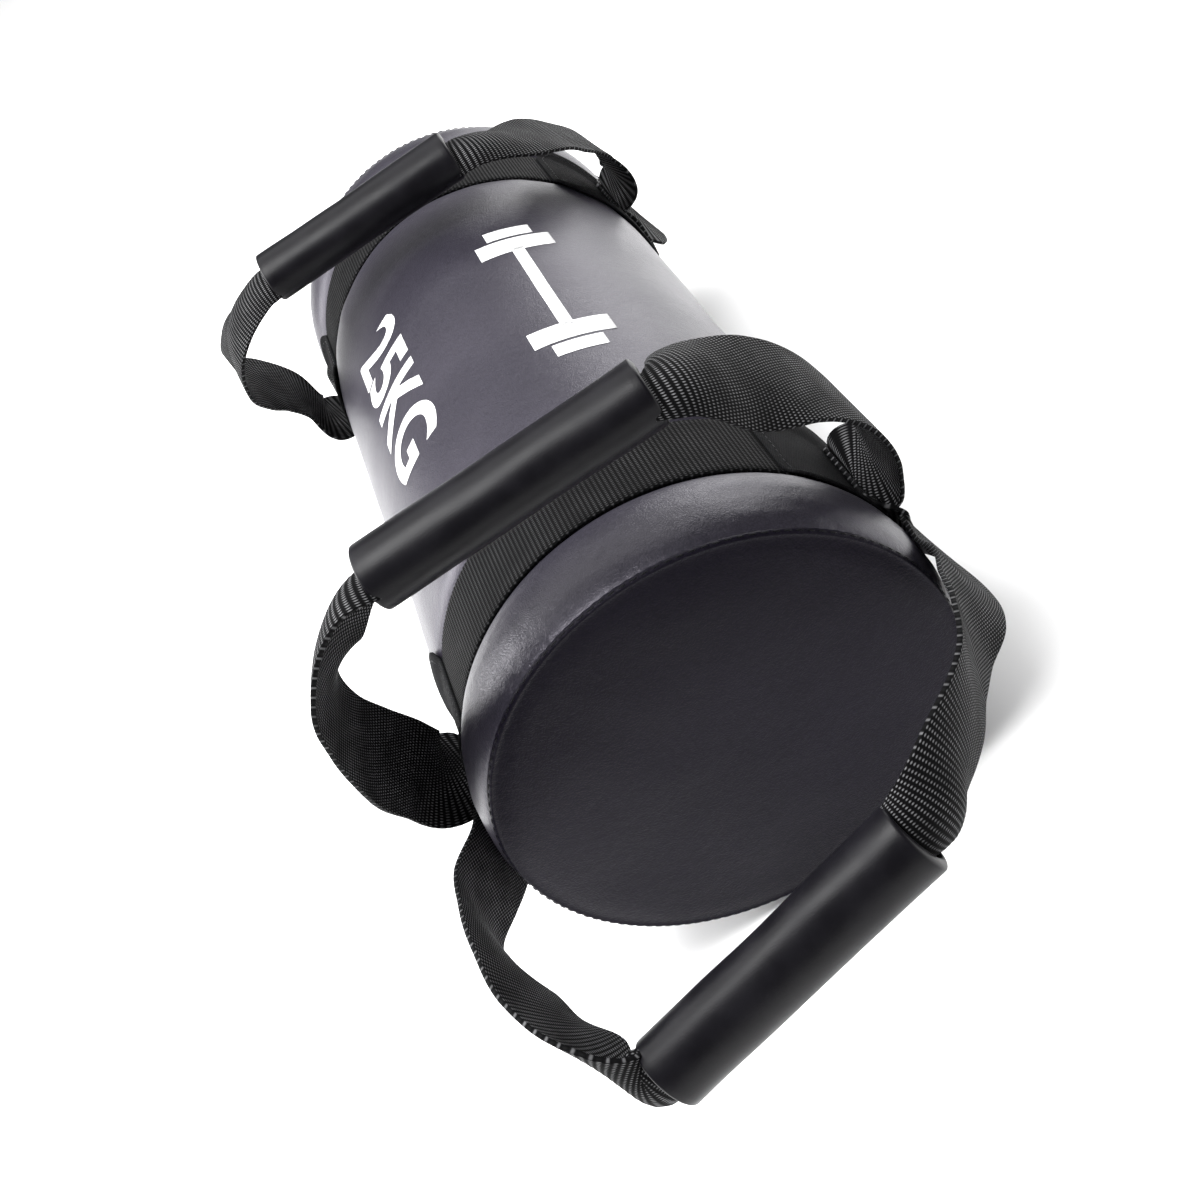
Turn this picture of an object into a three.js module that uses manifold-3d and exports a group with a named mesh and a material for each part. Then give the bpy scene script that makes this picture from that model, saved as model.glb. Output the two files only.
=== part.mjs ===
// A round training sandbag that lies on its side: a sewn tube with a disc at each end, filled with
// sand, and four webbing handles with rubber grips. Millimetres. The bag's axis runs along Y, with
// the front end at -Y. X runs across, Z is up, and the origin is the middle of the flat underside.
import * as THREE from "three";
import { mergeVertices } from "three/addons/utils/BufferGeometryUtils.js";
import Module from "manifold-3d";

const wasm = await Module();
wasm.setup();

// ---------------------------------------------------------------- driving sizes
const bagRadius = 110; // outside of the side panel at mid length
const bagLength = 500; // from end seam to end seam
const panelThickness = 2.4; // coated cloth
const restSag = 2.5; // how far the filling's weight presses the underside flat
const endDome = 5; // how far each end disc stands out at its middle
const fitGap = 0.3; // between pieces that touch
const strapClearance = 1.3; // between a loose strap and the sewn ends behind it
const roundSteps = 48; // facets round the bag

const webbingWidth = 45;
const webbingThickness = 2.2;
const bandCentre = 72; // from an end seam to the middle of its girth band
const grooveDepth = 4.5; // the band draws the panel in by this much
const grooveSlack = 0.5; // on each side of the band
const ringBulge = 1.2; // the panel swells between the band and the seam
const seamTuck = 0.8; // the panel turns in at the seam
const lipRun = 3; // along the bag, from the groove's floor to its lip
const shoulderRun = 14; // along the bag, from the lip to the full radius
const lipDrop = { ring: 0.25, shoulder: 0.3 }; // at a lip, the share of the groove's depth reached
const ringSteps = 5; // points across the swelling ring
const bulgeLean = 0.7; // below 1, the ring swells most near the seam
const discRings = [1, 0.98, 0.7, 0.35, 0]; // the end disc's rings, as shares of its rim
const discStep = 0.8; // the disc stands this far out just inside its seam

const foamThickness = 10;
const sackThickness = 1;
const sackMouth = 0.55; // the sack's gathered mouth, as a share of its radius

const patchArc = 138; // round the bag
const patchLead = 30; // from the patch's edge on the ring to the middle of the band
const patchWidth = 68; // along the bag
const patchThickness = 1.4;
const patchCorner = 14;
const patchClimb = { ring: 4, shoulder: 8 }; // along the bag, where a patch leaves the groove
const cutMargin = 1; // a blank reaches this far past the line that it is cut to

const gripLength = 125;
const gripWidth = 32;
const gripDepth = 28;
const gripBore = { width: 26.5, depth: 12 };
const gripLip = 1;
const foldedWidth = 21; // the webbing is folded where it runs through a grip
const foldedThickness = 4.4;
const mouthRun = 8; // straight webbing at each end of a grip, which lets the grip slide

// Each handle lies in a plane that turns about the line across the bag through its band. lean is
// that plane's turn from upright towards the front. reach is from that line to the grip's middle,
// and shift is how far the grip hangs off centre. turn and tip aim the grip in the plane, and roll
// spins it about its own length.
// A side's stations run from the sewn end to the grip: [out, along, off, twist]. out is the share
// of the way from the grip's mouth (0) to the sewn end (1), along is the share of the reach, off is
// the distance from the handle's plane, and twist turns the webbing about its own run.
const handles = [
  {
    name: "front_top",
    end: "front",
    lean: 19,
    reach: bagRadius + 66,
    shift: 5.5,
    turn: -3.5,
    tip: -3.5,
    roll: -40,
    left: [
      [1.08, 0.17, 1, 0],
      [1.1, 0.32, 2, -2],
      [1.1, 0.46, 0, -4],
      [1.05, 0.6, -1, -3],
      [0.9, 0.75, 1, -4],
      [0.62, 0.88, 2, -12],
    ],
    right: [
      [1.1, 0.16, -2, 4],
      [1.22, 0.29, -2, 0],
      [1.19, 0.43, 0, -4],
      [1.06, 0.55, 1, -2],
      [0.82, 0.67, 0, -2],
      [0.52, 0.8, -3, -8],
    ],
  },
  {
    name: "back_top",
    end: "back",
    lean: 25,
    reach: bagRadius + 47,
    shift: -9.5,
    turn: -4,
    tip: -4.5,
    roll: -20,
    left: [
      [1.08, 0.19, 8, 0],
      [1.12, 0.32, 18, -2],
      [1.29, 0.48, 19, 0],
      [1.42, 0.63, 12, 5],
      [1.28, 0.78, 6, -3],
      [0.9, 0.94, 4, -14],
    ],
    right: [
      [1.08, 0.19, 8, -4],
      [1.06, 0.32, 20, -11],
      [0.92, 0.45, 19, -16],
      [0.78, 0.58, 12, -16],
      [0.64, 0.69, 5, -18],
      [0.42, 0.82, -1, -20],
    ],
  },
  {
    name: "front_end",
    end: "front",
    lean: 80,
    reach: bandCentre + 131,
    shift: -14.5,
    turn: 9.5,
    tip: -1,
    roll: 0,
    left: [
      [1, 0.15, -6, -4],
      [1.08, 0.28, 2, -12],
      [1.29, 0.42, 10, -14],
      [1.14, 0.55, 13, -6],
      [0.88, 0.69, 15, 8],
      [0.66, 0.82, 12, 20],
      [0.36, 0.93, 2, 36],
    ],
    right: [
      [1, 0.15, -12, -10],
      [1.03, 0.29, -15, -14],
      [1.0, 0.42, -9, -8],
      [0.84, 0.55, 0, 4],
      [0.73, 0.68, 9, 14],
      [0.56, 0.81, 13, 17],
      [0.28, 0.93, 14, 12],
    ],
  },
];
// The back end's outward handle mirrors the front one, and hangs lower.
const backEndLean = -106;
const mirrorStation = ([out, along, off, twist]) => [out, along, -off, -twist];
const frontEndHandle = handles[2];
handles.push({
  ...frontEndHandle,
  name: "back_end",
  end: "back",
  lean: backEndLean,
  turn: -frontEndHandle.turn,
  left: frontEndHandle.left.map(mirrorStation),
  right: frontEndHandle.right.map(mirrorStation),
});

// ---------------------------------------------------------------- sizes that follow
const axisHeight = bagRadius - restSag;
const halfLength = bagLength / 2;
const grooveRadius = bagRadius - grooveDepth;
const grooveStart = bandCentre - webbingWidth / 2 - grooveSlack;
const grooveEnd = bandCentre + webbingWidth / 2 + grooveSlack;
const patchEdge = bandCentre - patchLead;
const sewnLength = grooveEnd - grooveStart; // a handle's stitched ends lie flat in the groove
const bandInner = grooveRadius + fitGap;
const bandOuter = bandInner + webbingThickness;
const patchOuterAtBand = bandOuter + fitGap + patchThickness;
const lowerTabInner = patchOuterAtBand + fitGap;
const upperTabInner = lowerTabInner + webbingThickness + fitGap;
const hingeFace = upperTabInner + webbingThickness + fitGap;
const strapRootX = hingeFace + webbingThickness / 2 + strapClearance;

// ---------------------------------------------------------------- materials
const finish = (color, roughness) => new THREE.MeshStandardMaterial({ color, roughness, metalness: 0 });
const leather = finish(0x43414a, 0.45);
const webbing = finish(0x1c1c1f, 0.85);
const patchCloth = finish(0x232326, 0.95);
const gripRubber = finish(0x2b2b2e, 0.6);
const foam = finish(0xd8d3c4, 0.95);
const sackCloth = finish(0x9a958a, 0.9);
const sand = finish(0xb79f74, 1);

// ---------------------------------------------------------------- helpers
const radians = THREE.MathUtils.degToRad;

// A named mesh, its vertices merged so that the solid is closed.
function piece(name, geometry, material) {
  geometry.deleteAttribute("normal");
  geometry.deleteAttribute("uv");
  const merged = mergeVertices(geometry, 1e-3);
  merged.computeVertexNormals();
  const mesh = new THREE.Mesh(merged, material);
  mesh.name = name;
  return mesh;
}

function toSolid(geometry) {
  const bare = geometry.clone();
  bare.deleteAttribute("normal");
  bare.deleteAttribute("uv");
  const merged = mergeVertices(bare, 1e-3);
  return new wasm.Manifold(
    new wasm.Mesh({
      numProp: 3,
      vertProperties: new Float32Array(merged.attributes.position.array),
      triVerts: new Uint32Array(merged.index.array),
    }),
  );
}

function fromSolid(solid) {
  const mesh = solid.getMesh();
  const geometry = new THREE.BufferGeometry();
  geometry.setAttribute("position", new THREE.BufferAttribute(mesh.vertProperties, 3));
  geometry.setIndex(new THREE.BufferAttribute(mesh.triVerts, 1));
  return geometry;
}

// Turns a profile of [radius, y] points round the bag's axis. The profile runs anticlockwise when
// it encloses a solid, so a clockwise one is reversed.
function turned(profile) {
  const points = profile.map(([radius, y]) => new THREE.Vector2(radius, y));
  if (THREE.ShapeUtils.area(points) < 0) points.reverse();
  if (points[0].x > 0 || points[points.length - 1].x > 0) points.push(points[0].clone());
  return new THREE.LatheGeometry(points, roundSteps);
}

// Presses the underside of a turned layer flat. Every layer loses the same depth, so that layers
// stay parallel, and nothing reaches below the surface that the bag rests on.
function pressFlat(geometry) {
  const position = geometry.attributes.position;
  for (let i = 0; i < position.count; i++) {
    const radius = Math.hypot(position.getX(i), position.getZ(i));
    const lowest = -(Math.min(radius, bagRadius) - restSag);
    position.setZ(i, Math.max(position.getZ(i), lowest));
  }
  return geometry;
}

const layer = (name, profile, material) => piece(name, pressFlat(turned(profile)), material);

// The y of a distance inwards from an end's seam.
const fromSeam = { front: (distance) => distance - halfLength, back: (distance) => halfLength - distance };

// Both ends of a profile: the front's [radius, distance from the seam] points and their mirror.
const bothEnds = (frontPoints) => [
  ...frontPoints.map(([radius, distance]) => [radius, fromSeam.front(distance)]),
  ...[...frontPoints].reverse().map(([radius, distance]) => [radius, fromSeam.back(distance)]),
];

// ---------------------------------------------------------------- shell
const panelStart = panelThickness + fitGap; // the side panel meets the disc's inner face here

// The side panel's outside at one end: a swelling ring, the band's groove, then the shoulder.
function panelOutside() {
  const ringLength = grooveStart - lipRun;
  const points = [[bagRadius - seamTuck, panelStart]];
  for (let i = 1; i <= ringSteps; i++) {
    const share = i / (ringSteps + 1);
    const swell = ringBulge * Math.sin(Math.PI * share ** bulgeLean);
    points.push([bagRadius + swell, panelStart + (ringLength - panelStart) * share]);
  }
  points.push([bagRadius - grooveDepth * lipDrop.ring, ringLength]);
  points.push([grooveRadius, grooveStart]);
  points.push([grooveRadius, grooveEnd]);
  points.push([bagRadius - grooveDepth * lipDrop.shoulder, grooveEnd + lipRun]);
  points.push([bagRadius, grooveEnd + lipRun + shoulderRun]);
  return points;
}

// The same path seen from inside, further in by depth, with fewer points.
const panelInside = (depth, start) => [
  [bagRadius - seamTuck - depth, start],
  [bagRadius - grooveDepth * lipDrop.shoulder - depth, grooveStart - lipRun],
  [grooveRadius - depth, grooveStart],
  [grooveRadius - depth, grooveEnd],
  [bagRadius - grooveDepth * lipDrop.shoulder - depth, grooveEnd + lipRun],
];

function sidePanel() {
  const outside = bothEnds(panelOutside());
  const inside = bothEnds(panelInside(panelThickness, panelStart)).reverse();
  return layer("side_panel", [...outside, ...inside], leather);
}

// A disc with a dome, its rim at the seam.
function endDisc(end) {
  const rim = bagRadius - seamTuck;
  const domeAt = (share) => -endDome * (1 - share ** 2) - (share < 1 ? discStep : 0);
  const outer = discRings.map((share) => [rim * share, fromSeam[end](domeAt(share))]);
  const inner = discRings.map((share) => [rim * share, fromSeam[end](domeAt(share) + panelThickness)]);
  return layer(`${end}_end_disc`, [...outer, ...inner.reverse()], leather);
}

// ---------------------------------------------------------------- filling
const foamStart = panelStart + fitGap;
const foamOuterDepth = panelThickness + fitGap;
const foamInnerRadius = grooveRadius - foamOuterDepth - foamThickness;

function foamSleeve() {
  const outside = bothEnds(panelInside(foamOuterDepth, foamStart));
  const inside = [
    [foamInnerRadius, fromSeam.back(foamStart)],
    [foamInnerRadius, fromSeam.front(foamStart)],
  ];
  return layer("foam_sleeve", [...outside, ...inside], foam);
}

const padRadius = foamInnerRadius - fitGap;

function foamPad(end) {
  const profile = [
    [0, fromSeam[end](foamStart)],
    [padRadius, fromSeam[end](foamStart)],
    [padRadius, fromSeam[end](foamStart + foamThickness)],
    [0, fromSeam[end](foamStart + foamThickness)],
  ];
  return layer(`${end}_foam_pad`, profile, foam);
}

// The woven sack: closed at the front, gathered to a small mouth at the back.
const sackStart = foamStart + foamThickness + fitGap;
const sackInner = padRadius - sackThickness;

function fillerSack() {
  const front = fromSeam.front(sackStart);
  const back = fromSeam.back(sackStart);
  const profile = [
    [0, front],
    [padRadius, front],
    [padRadius, back],
    [padRadius * sackMouth, back],
    [padRadius * sackMouth, back - sackThickness],
    [sackInner, back - sackThickness],
    [sackInner, front + sackThickness],
    [0, front + sackThickness],
  ];
  return layer("filler_sack", profile, sackCloth);
}

function sandFilling() {
  const start = sackStart + sackThickness + fitGap;
  const radius = sackInner - fitGap;
  const profile = [
    [0, fromSeam.front(start)],
    [radius, fromSeam.front(start)],
    [radius, fromSeam.back(start)],
    [0, fromSeam.back(start)],
  ];
  return layer("sand_filling", profile, sand);
}

// ---------------------------------------------------------------- bands, patches, sewn ends
function girthBand(end) {
  const near = fromSeam[end](bandCentre - webbingWidth / 2);
  const far = fromSeam[end](bandCentre + webbingWidth / 2);
  const profile = [
    [bandInner, near],
    [bandOuter, near],
    [bandOuter, far],
    [bandInner, far],
  ];
  return layer(`${end}_girth_band`, profile, webbing);
}

// A rounded rectangle in the YZ plane, pushed out along X to one side of the bag.
function sideCutter(side, centreY, along, around, corner) {
  const cutterDepth = bagRadius;
  const shape = new THREE.Shape();
  const y = along / 2;
  const z = around / 2;
  shape.moveTo(-y + corner, -z);
  shape.lineTo(y - corner, -z);
  shape.absarc(y - corner, -z + corner, corner, -Math.PI / 2, 0, false);
  shape.lineTo(y, z - corner);
  shape.absarc(y - corner, z - corner, corner, 0, Math.PI / 2, false);
  shape.lineTo(-y + corner, z);
  shape.absarc(-y + corner, z - corner, corner, Math.PI / 2, Math.PI, false);
  shape.lineTo(-y, -z + corner);
  shape.absarc(-y + corner, -z + corner, corner, Math.PI, 1.5 * Math.PI, false);
  const prism = new THREE.ExtrudeGeometry(shape, {
    depth: cutterDepth,
    bevelEnabled: false,
    curveSegments: 4,
  });
  // The shape's x becomes the bag's Y, its y becomes Z, and the push runs along X.
  prism.applyMatrix4(new THREE.Matrix4().set(0, 0, 1, 0, 1, 0, 0, 0, 0, 1, 0, 0, 0, 0, 0, 1));
  const start = side * bagRadius - cutterDepth / 2;
  return toSolid(prism.translate(start, centreY, 0));
}

// The part of a turned ring that a cutter keeps.
function sewnPiece(name, ringProfile, cutter, material) {
  const ring = toSolid(turned(ringProfile));
  return piece(name, fromSolid(ring.intersect(cutter)), material);
}

// A patch of rough cloth over the band: it dips into the groove and rises on to the panel.
function anchorPatch(end, sideName, side) {
  const lowest = bandOuter + fitGap;
  const highest = bagRadius + fitGap * 2;
  const path = [
    [highest, patchEdge - cutMargin],
    [highest, grooveStart - patchClimb.ring],
    [lowest, grooveStart],
    [lowest, grooveEnd],
    [highest, grooveEnd + patchClimb.shoulder],
    [highest, patchEdge + patchWidth + cutMargin],
  ];
  const inner = path.map(([radius, distance]) => [radius, fromSeam[end](distance)]);
  const outer = path.map(([radius, distance]) => [radius + patchThickness, fromSeam[end](distance)]);
  const height = 2 * bagRadius * Math.sin(patchArc / 2 / bagRadius);
  const centre = fromSeam[end](patchEdge + patchWidth / 2);
  const cutter = sideCutter(side, centre, patchWidth, height, patchCorner);
  return sewnPiece(`${end}_${sideName}_patch`, [...inner, ...outer.reverse()], cutter, patchCloth);
}

// The stitched end of a handle's webbing. An end handle's lies under a top handle's, and turned a
// quarter, because it leaves along the bag.
function sewnEnd(handle, sideName, side) {
  const leavesAlong = Math.abs(handle.lean) > 45;
  const innerRadius = leavesAlong ? lowerTabInner : upperTabInner;
  const outerRadius = innerRadius + webbingThickness;
  const along = leavesAlong ? sewnLength : webbingWidth;
  const around = leavesAlong ? webbingWidth : sewnLength;
  const centre = fromSeam[handle.end](bandCentre);
  const ring = [
    [innerRadius, centre - along],
    [outerRadius, centre - along],
    [outerRadius, centre + along],
    [innerRadius, centre + along],
  ];
  const cutter = sideCutter(side, centre, along, around, webbingThickness);
  return sewnPiece(`${handle.name}_${sideName}_sewn_end`, ring, cutter, webbing);
}

// ---------------------------------------------------------------- handles
// A handle's own frame: X across the bag, Z from the turning line out to the grip, Y off its plane.
function gripPlace(handle) {
  const turn = radians(handle.turn);
  const tip = radians(handle.tip);
  return {
    centre: new THREE.Vector3(handle.shift, 0, handle.reach),
    direction: new THREE.Vector3(1, Math.tan(turn), Math.tan(tip)).normalize(),
  };
}

// The route of the webbing from the left sewn end through the grip to the right one, as points and
// as sections: twist, width and thickness at each point.
function webbingRoute(handle) {
  const { centre, direction } = gripPlace(handle);
  const points = [];
  const sections = [];
  const along = (distance) => centre.clone().addScaledVector(direction, distance);
  const mouthDistance = gripLength / 2 + mouthRun;
  const addSide = (side, stations) => {
    const mouth = along(side * mouthDistance);
    for (const [out, reachShare, off, twist] of stations) {
      const x = mouth.x + (side * strapRootX - mouth.x) * out;
      points.push(new THREE.Vector3(x, off, handle.reach * reachShare));
      sections.push(new THREE.Vector3(twist, webbingWidth, webbingThickness));
    }
  };
  addSide(-1, handle.left);
  const inside = gripLength / 2 - mouthRun;
  for (const distance of [-mouthDistance, -inside, 0, inside, mouthDistance]) {
    points.push(along(distance));
    sections.push(new THREE.Vector3(handle.roll, foldedWidth, foldedThickness));
  }
  addSide(1, [...handle.right].reverse());
  return { points, sections };
}

// A flat strip bent along a route: a box whose cross-sections are moved to the route's stations.
function handleWebbing(handle) {
  const { points, sections } = webbingRoute(handle);
  const stepsPerStation = 4;
  const steps = (points.length - 1) * stepsPerStation;
  const route = new THREE.CatmullRomCurve3(points, false, "centripetal");
  const section = new THREE.CatmullRomCurve3(sections, false, "centripetal");
  const strip = new THREE.BoxGeometry(1, 1, 1, 1, 1, steps);
  const planeNormal = new THREE.Vector3(0, 1, 0);
  const stations = [];
  for (let i = 0; i <= steps; i++) {
    const share = i / steps;
    const run = route.getTangent(share);
    const [twist, width, thickness] = section.getPoint(share).toArray();
    const across = planeNormal.clone().addScaledVector(run, -run.dot(planeNormal)).normalize();
    across.applyAxisAngle(run, radians(twist));
    const face = new THREE.Vector3().crossVectors(run, across);
    stations.push({ centre: route.getPoint(share), across, face, width, thickness });
  }
  const position = strip.attributes.position;
  for (let i = 0; i < position.count; i++) {
    const station = stations[Math.round((position.getZ(i) + 0.5) * steps)];
    const moved = station.centre
      .clone()
      .addScaledVector(station.across, position.getY(i) * station.width)
      .addScaledVector(station.face, -position.getX(i) * station.thickness);
    position.setXYZ(i, moved.x, moved.y, moved.z);
  }
  return piece(`${handle.name}_webbing`, strip, webbing);
}

const oval = (Kind, width, depth) =>
  new Kind().absellipse(0, 0, depth / 2, width / 2, 0, 2 * Math.PI, false, 0);

// An oval rubber sleeve with a slot for the folded webbing and a rounded lip at each mouth.
function handleGrip(handle) {
  const outline = oval(THREE.Shape, gripWidth - 2 * gripLip, gripDepth - 2 * gripLip);
  outline.holes.push(oval(THREE.Path, gripBore.width + 2 * gripLip, gripBore.depth + 2 * gripLip));
  const sleeve = new THREE.ExtrudeGeometry(outline, {
    depth: gripLength - 2 * gripLip,
    bevelThickness: gripLip,
    bevelSize: gripLip,
    bevelSegments: 1,
    curveSegments: 14,
  });
  sleeve.translate(0, 0, gripLip - gripLength / 2);
  const { centre, direction } = gripPlace(handle);
  const across = new THREE.Vector3(0, 1, 0);
  across.addScaledVector(direction, -direction.y).normalize();
  across.applyAxisAngle(direction, radians(handle.roll));
  const depthAxis = new THREE.Vector3().crossVectors(across, direction);
  sleeve.applyMatrix4(new THREE.Matrix4().makeBasis(depthAxis, across, direction));
  const mesh = piece(`${handle.name}_grip`, sleeve, gripRubber);
  mesh.position.copy(centre);
  return mesh;
}

// ---------------------------------------------------------------- assembly
const bag = new THREE.Group();
bag.position.z = axisHeight;
bag.add(sidePanel(), foamSleeve(), fillerSack(), sandFilling());
for (const end of ["front", "back"]) {
  bag.add(endDisc(end), foamPad(end), girthBand(end));
  bag.add(anchorPatch(end, "left", -1), anchorPatch(end, "right", 1));
}
for (const handle of handles) {
  bag.add(sewnEnd(handle, "left", -1), sewnEnd(handle, "right", 1));
  const loop = new THREE.Group();
  loop.position.y = fromSeam[handle.end](bandCentre);
  loop.rotation.x = radians(handle.lean);
  loop.add(handleWebbing(handle), handleGrip(handle));
  bag.add(loop);
}

const group = new THREE.Group();
group.add(bag);

export default group;
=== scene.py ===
# %% [markdown]
# # A training sandbag with webbing handles
# The bag lies on its side: a sewn tube of coated cloth, a disc at each end, two webbing bands
# round it, and four webbing handles with rubber grips. The mechanical frame is loaded first,
# because it says where everything is and which body each piece moves with.

# %% Load the frame
import math

import bmesh
import bpy
from mathutils import Matrix, Vector, noise


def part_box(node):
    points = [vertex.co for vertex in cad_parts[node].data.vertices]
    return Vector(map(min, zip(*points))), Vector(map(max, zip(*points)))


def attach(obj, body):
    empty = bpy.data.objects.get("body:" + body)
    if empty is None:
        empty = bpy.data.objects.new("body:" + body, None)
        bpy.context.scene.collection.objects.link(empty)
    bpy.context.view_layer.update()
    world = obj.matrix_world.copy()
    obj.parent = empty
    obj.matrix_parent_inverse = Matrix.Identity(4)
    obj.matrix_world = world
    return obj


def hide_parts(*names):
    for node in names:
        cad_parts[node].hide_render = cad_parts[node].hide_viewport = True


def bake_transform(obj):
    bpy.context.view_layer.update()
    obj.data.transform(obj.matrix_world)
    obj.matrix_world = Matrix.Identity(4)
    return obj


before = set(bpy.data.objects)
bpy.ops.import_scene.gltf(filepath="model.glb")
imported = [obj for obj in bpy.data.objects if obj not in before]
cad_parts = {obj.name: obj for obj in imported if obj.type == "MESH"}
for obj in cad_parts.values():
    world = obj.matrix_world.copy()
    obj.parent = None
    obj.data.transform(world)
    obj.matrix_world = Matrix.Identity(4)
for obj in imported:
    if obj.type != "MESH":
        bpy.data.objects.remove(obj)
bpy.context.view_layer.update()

MM = 0.001
scene = bpy.context.scene

# %% [markdown]
# The driving sizes are read off the frame's own boxes, so that the soft pieces land on it: the
# band gives the bag's axis and the middle of each end's handles, the disc gives the seam.

# %% Sizes taken from the frame
band_low, band_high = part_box("front_girth_band")
_, disc_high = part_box("front_end_disc")
_, panel_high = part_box("side_panel")

SEAM_TUCK = 0.8 * MM
PANEL_GAP = 2.7 * MM  # from the seam's plane to the panel's edge
BAG_RADIUS = disc_high.x + SEAM_TUCK
HALF_LENGTH = panel_high.y + PANEL_GAP
BAND_OUTER = band_high.x
AXIS_HEIGHT = band_high.z - BAND_OUTER
BAND_CENTRE = HALF_LENGTH + (band_low.y + band_high.y) / 2
BAND_Y = HALF_LENGTH - BAND_CENTRE  # from the bag's middle to each band's
WEBBING_WIDTH = band_high.y - band_low.y
WEBBING_THICKNESS = 2.0 * MM
REST_SAG = BAG_RADIUS - AXIS_HEIGHT
ENDS = {"front": -1, "back": 1}
SIDES = {"left": -1, "right": 1}
print(f"radius {BAG_RADIUS:.4f}, half length {HALF_LENGTH:.4f}, axis at {AXIS_HEIGHT:.4f}")

# %% [markdown]
# The camera comes before the modelling, so that each piece can be judged in the final view. It
# looks down on the bag from the front, rolled to one side, so it is placed by its three axes.

# %% Camera
CAMERA_PLACE = Vector((83.8, -673.2, 558.2)) * MM
CAMERA_RIGHT = Vector((0.7796, -0.2959, -0.5520))
CAMERA_UP = Vector((0.6087, 0.5654, 0.5566))
LENS = 43.2

camera_data = bpy.data.cameras.new("camera")
camera_data.lens = LENS
camera_data.clip_start = 0.01
camera = bpy.data.objects.new("camera", camera_data)
camera_back = CAMERA_RIGHT.cross(CAMERA_UP).normalized()
camera.matrix_world = Matrix.Translation(CAMERA_PLACE) @ Matrix(
    (CAMERA_RIGHT.normalized(), camera_back.cross(CAMERA_RIGHT).normalized(), camera_back)
).transposed().to_4x4()
scene.collection.objects.link(camera)
scene.camera = camera
print("camera at", tuple(round(v, 3) for v in CAMERA_PLACE))


# %% [markdown]
# Every piece ends the same way: its bmesh becomes a mesh and gets a finish, it is attached to the
# body it rides on where it has one, and the plain solids of the frame that it stands for are
# hidden. One helper does that.

# %% Helper: finish a piece
def finish_piece(name, bm, material, body=None, stands_for=(), solid=None):
    """A mesh object from bm. solid is (thickness, offset) where a sheet needs a wall."""
    mesh = bpy.data.meshes.new(name)
    bm.to_mesh(mesh)
    bm.free()
    mesh.shade_smooth()
    mesh.materials.append(material)
    piece = bpy.data.objects.new(name, mesh)
    scene.collection.objects.link(piece)
    if solid:
        wall = piece.modifiers.new("wall", "SOLIDIFY")
        wall.thickness, wall.offset = solid
    if body:
        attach(piece, body)
    if stands_for:
        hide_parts(*stands_for)
    print(f"{name}: {len(mesh.polygons)} faces")
    return piece


# %% [markdown]
# Materials are node trees. These two helpers keep them short: one makes a material with its
# shader, the other adds a node, sets its inputs and links what is passed as a socket.

# %% Helpers: materials
def new_material(name, colour, roughness, **sockets):
    """A material whose shader has plain values; patterns are linked to it afterwards."""
    material = bpy.data.materials.new(name)
    material.use_nodes = True
    shader = material.node_tree.nodes["Principled BSDF"]
    shader.inputs["Base Color"].default_value = (*colour, 1)
    shader.inputs["Roughness"].default_value = roughness
    for socket, value in sockets.items():
        shader.inputs[socket.replace("_", " ")].default_value = value
    return material, material.node_tree, shader


def add_node(tree, kind, inputs=None, **settings):
    """A node of that kind. An input that is a socket is linked, and any other is set."""
    node = tree.nodes.new(f"ShaderNode{kind}")
    for key, value in settings.items():
        setattr(node, key, value)
    for key, value in (inputs or {}).items():
        if isinstance(value, bpy.types.NodeSocket):
            tree.links.new(value, node.inputs[key])
        else:
            node.inputs[key].default_value = value
    return node


def do_math(tree, operation, first, second=0.0, third=0.0):
    """The output of a Math node."""
    inputs = {0: first, 1: second, 2: third}
    return add_node(tree, "Math", inputs, operation=operation).outputs[0]


def ramp(tree, factor, low, high, low_value, high_value):
    """Maps factor from low..high to low_value..high_value, clamped."""
    inputs = {"Value": factor, "From Min": low, "From Max": high, "To Min": low_value, "To Max": high_value}
    return add_node(tree, "MapRange", inputs).outputs["Result"]


def noise_value(tree, place, scale, detail, **more):
    """The value of a noise texture."""
    inputs = {"Vector": place, "Scale": scale, "Detail": detail, **more}
    return add_node(tree, "TexNoise", inputs).outputs["Fac"]


def mix_colour(tree, factor, first, second):
    """A mix of two colours by factor."""
    node = add_node(tree, "Mix", data_type="RGBA")
    for socket, value in ((node.inputs[0], factor), (node.inputs[6], first), (node.inputs[7], second)):
        if isinstance(value, bpy.types.NodeSocket):
            tree.links.new(value, socket)
        elif socket.type == "RGBA":
            socket.default_value = (*value, 1)
        else:
            socket.default_value = value
    return node.outputs[2]


def bump_from(tree, height, distance, strength=1.0, normal=None):
    """A Bump node's normal; distance is the height in metres that a value of 1 stands for."""
    inputs = {"Height": height, "Distance": distance, "Strength": strength}
    if normal:
        inputs["Normal"] = normal
    return add_node(tree, "Bump", inputs).outputs["Normal"]


print("helpers ready")

# %% [markdown]
# The coated cloth of the bag is a satin charcoal with a fine, slightly stretched pebble grain. An
# image texture could be used, but a grain made of Voronoi cells over soft noise stays sharp at
# any distance. Low, wide noise varies the tone and the gloss, as handling does.


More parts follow.
